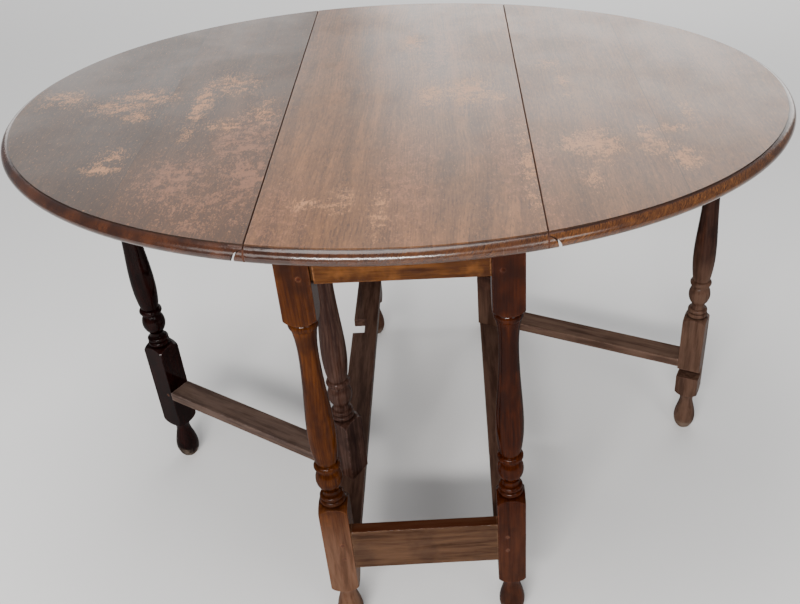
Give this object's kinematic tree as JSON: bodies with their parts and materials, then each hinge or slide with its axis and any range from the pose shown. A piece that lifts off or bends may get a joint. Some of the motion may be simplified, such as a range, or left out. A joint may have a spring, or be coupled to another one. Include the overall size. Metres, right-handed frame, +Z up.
{
  "type": "drop leaf table",
  "caption": "Oval gateleg drop leaf table in dark oak: turned legs, swinging gates that carry hinged leaves, moulded edge.",
  "frame": {"origin": "on the floor under the middle of the oval top", "axes": "+X along the long axis of the open oval, across the seams, towards the right leaf; +Y across it, away from the front; +Z up"},
  "size_m": [1.2002, 0.9532, 0.74],
  "materials": {
    "oak_top_centre": "dark stained oak, waxed and worn",
    "oak_leaf_left": "dark stained oak, waxed and worn",
    "oak_leaf_right": "dark stained oak with ray fleck, waxed and worn",
    "oak_turned": "dark stained turned oak, waxed",
    "oak_rails": "dark stained oak, waxed",
    "oak_gates_turned": "very dark stained turned oak, waxed",
    "oak_gate_rails": "very dark stained oak, waxed",
    "oak_pegs": "dark oak end grain",
    "oak_blocks": "dry oak, unfinished",
    "iron_hinges": "dark forged iron",
    "steel_pins": "turned steel, dulled",
    "steel_screws": "steel, dulled with age"
  },
  "bodies": {
    "frame": {"leg_front_left": "oak_turned", "leg_front_right": "oak_turned", "leg_back_left": "oak_turned", "leg_back_right": "oak_turned", "apron_front": "oak_rails", "apron_back": "oak_rails", "side_rail_left": "oak_rails", "side_rail_right": "oak_rails", "stretcher_front": "oak_rails", "stretcher_back": "oak_rails", "stretcher_left": "oak_rails", "stretcher_right": "oak_rails", "frame_pegs": "oak_pegs", "top_centre_board": "oak_top_centre", "top_blocks": "oak_blocks", "top_block_screws": "steel_screws", "hinge_left_front_fixed": "iron_hinges", "hinge_left_front_pin": "steel_pins", "hinge_left_back_fixed": "iron_hinges", "hinge_left_back_pin": "steel_pins", "hinge_left_fixed_screws": "steel_screws", "hinge_right_front_fixed": "iron_hinges", "hinge_right_front_pin": "steel_pins", "hinge_right_back_fixed": "iron_hinges", "hinge_right_back_pin": "steel_pins", "hinge_right_fixed_screws": "steel_screws"},
    "leaf_left": {"leaf_left_inner_board": "oak_leaf_left", "leaf_left_outer_board": "oak_leaf_left", "hinge_left_front_flap": "iron_hinges", "hinge_left_back_flap": "iron_hinges", "hinge_left_flap_screws": "steel_screws", "gate_stop_left": "oak_blocks", "gate_stop_left_screws": "steel_screws"},
    "gate_left": {"gate_left_post": "oak_gates_turned", "gate_left_leg": "oak_gates_turned", "gate_left_upper_rail": "oak_gate_rails", "gate_left_lower_rail": "oak_gate_rails", "gate_left_pegs": "oak_pegs", "gate_left_pivot_pins": "steel_pins"},
    "leaf_right": {"leaf_right_inner_board": "oak_leaf_right", "leaf_right_outer_board": "oak_leaf_right", "hinge_right_front_flap": "iron_hinges", "hinge_right_back_flap": "iron_hinges", "hinge_right_flap_screws": "steel_screws", "gate_stop_right": "oak_blocks", "gate_stop_right_screws": "steel_screws"},
    "gate_right": {"gate_right_post": "oak_gates_turned", "gate_right_leg": "oak_gates_turned", "gate_right_upper_rail": "oak_gate_rails", "gate_right_lower_rail": "oak_gate_rails", "gate_right_pegs": "oak_pegs", "gate_right_pivot_pins": "steel_pins"}
  },
  "joints": [
    {"name": "gate_left_swing", "type": "hinge", "parent": "frame", "child": "gate_left", "pos_m": [-0.133, -0.2125, 0.41], "axis": [0, 0, 1], "range_deg": [-57, 0]},
    {"name": "gate_right_swing", "type": "hinge", "parent": "frame", "child": "gate_right", "pos_m": [0.133, 0.2125, 0.41], "axis": [0, 0, 1], "range_deg": [-64.2, 0]},
    {"name": "leaf_left_lift", "type": "hinge", "parent": "frame", "child": "leaf_left", "pos_m": [-0.1786, 0, 0.723], "axis": [0, 1, 0], "range_deg": [0, 2]},
    {"name": "leaf_right_lift", "type": "hinge", "parent": "frame", "child": "leaf_right", "pos_m": [0.1786, 0, 0.723], "axis": [0, -1, 0], "range_deg": [0, 2]}
  ]
}
